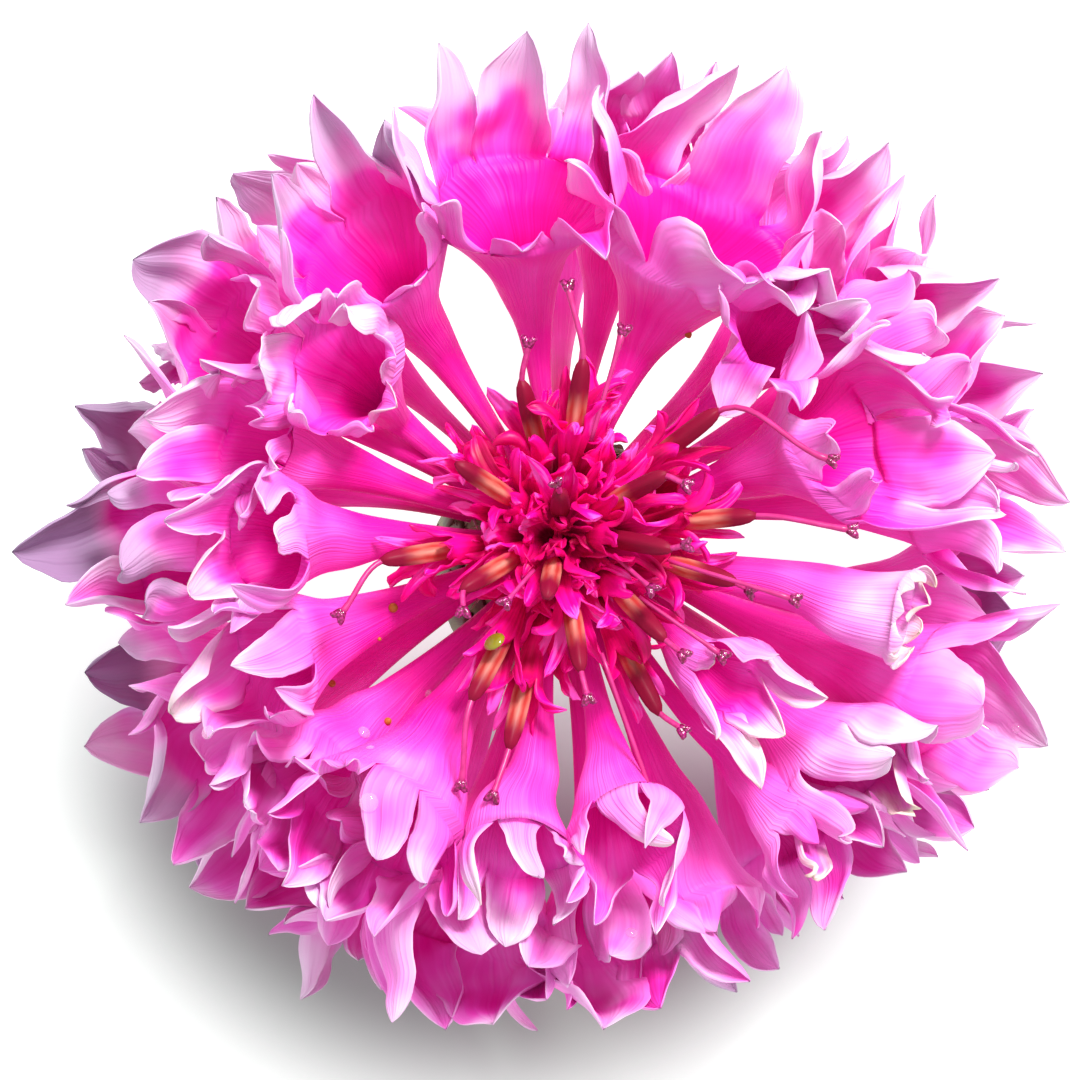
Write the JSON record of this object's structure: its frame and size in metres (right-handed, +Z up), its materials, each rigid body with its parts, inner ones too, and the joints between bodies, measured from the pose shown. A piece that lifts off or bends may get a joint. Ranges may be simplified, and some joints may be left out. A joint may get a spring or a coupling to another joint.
{
  "type": "cornflower head",
  "caption": "Picked double pink cornflower head, face up on its cut end, with whorls of lobed trumpet florets round a crimson disc.",
  "frame": {"origin": "middle of the head's footprint, at the height of the surface that it stands on", "axes": "+Z up out of the face of the flower; the head leans a little towards -X and -Y below its disc"},
  "size_m": [0.0398, 0.0394, 0.0228],
  "materials": {
    "ray_petal": "thin soft petal, magenta in the throat, paling to lilac pink at the lobes",
    "disc_floret": "crimson corolla with orange-brown anther tube",
    "bract_scale": "dark green leathery scale with a brown fringed edge",
    "receptacle_flesh": "pale green fleshy heart, moist where cut"
  },
  "bodies": {
    "root": {"bract_row_1": "bract_scale", "bract_row_2": "bract_scale", "bract_row_3": "bract_scale", "bract_row_4": "bract_scale", "receptacle": "receptacle_flesh", "lower_floret_01": "ray_petal", "lower_floret_02": "ray_petal", "lower_floret_03": "ray_petal", "lower_floret_04": "ray_petal", "lower_floret_05": "ray_petal", "lower_floret_06": "ray_petal", "lower_floret_07": "ray_petal", "lower_floret_08": "ray_petal", "lower_floret_09": "ray_petal", "lower_floret_10": "ray_petal", "lower_floret_11": "ray_petal", "middle_floret_01": "ray_petal", "middle_floret_02": "ray_petal", "middle_floret_03": "ray_petal", "middle_floret_04": "ray_petal", "middle_floret_05": "ray_petal", "middle_floret_06": "ray_petal", "middle_floret_07": "ray_petal", "middle_floret_08": "ray_petal", "middle_floret_09": "ray_petal", "middle_floret_10": "ray_petal", "middle_floret_11": "ray_petal", "middle_floret_12": "ray_petal", "middle_floret_13": "ray_petal", "upper_floret_01": "ray_petal", "upper_floret_02": "ray_petal", "upper_floret_03": "ray_petal", "upper_floret_04": "ray_petal", "upper_floret_05": "ray_petal", "upper_floret_06": "ray_petal", "upper_floret_07": "ray_petal", "upper_floret_08": "ray_petal", "upper_floret_09": "ray_petal", "upper_floret_10": "ray_petal", "upper_floret_11": "ray_petal", "upper_floret_12": "ray_petal", "upper_floret_13": "ray_petal", "upper_floret_14": "ray_petal", "disc_floret_01": "disc_floret", "disc_floret_02": "disc_floret", "disc_floret_03": "disc_floret", "disc_floret_04": "disc_floret", "disc_floret_05": "disc_floret", "disc_floret_06": "disc_floret", "disc_floret_07": "disc_floret", "disc_floret_08": "disc_floret", "disc_floret_09": "disc_floret", "disc_floret_10": "disc_floret", "disc_floret_11": "disc_floret", "disc_floret_12": "disc_floret", "disc_floret_13": "disc_floret", "disc_floret_14": "disc_floret", "disc_floret_15": "disc_floret", "disc_floret_16": "disc_floret", "disc_floret_17": "disc_floret"}
  },
  "joints": []
}
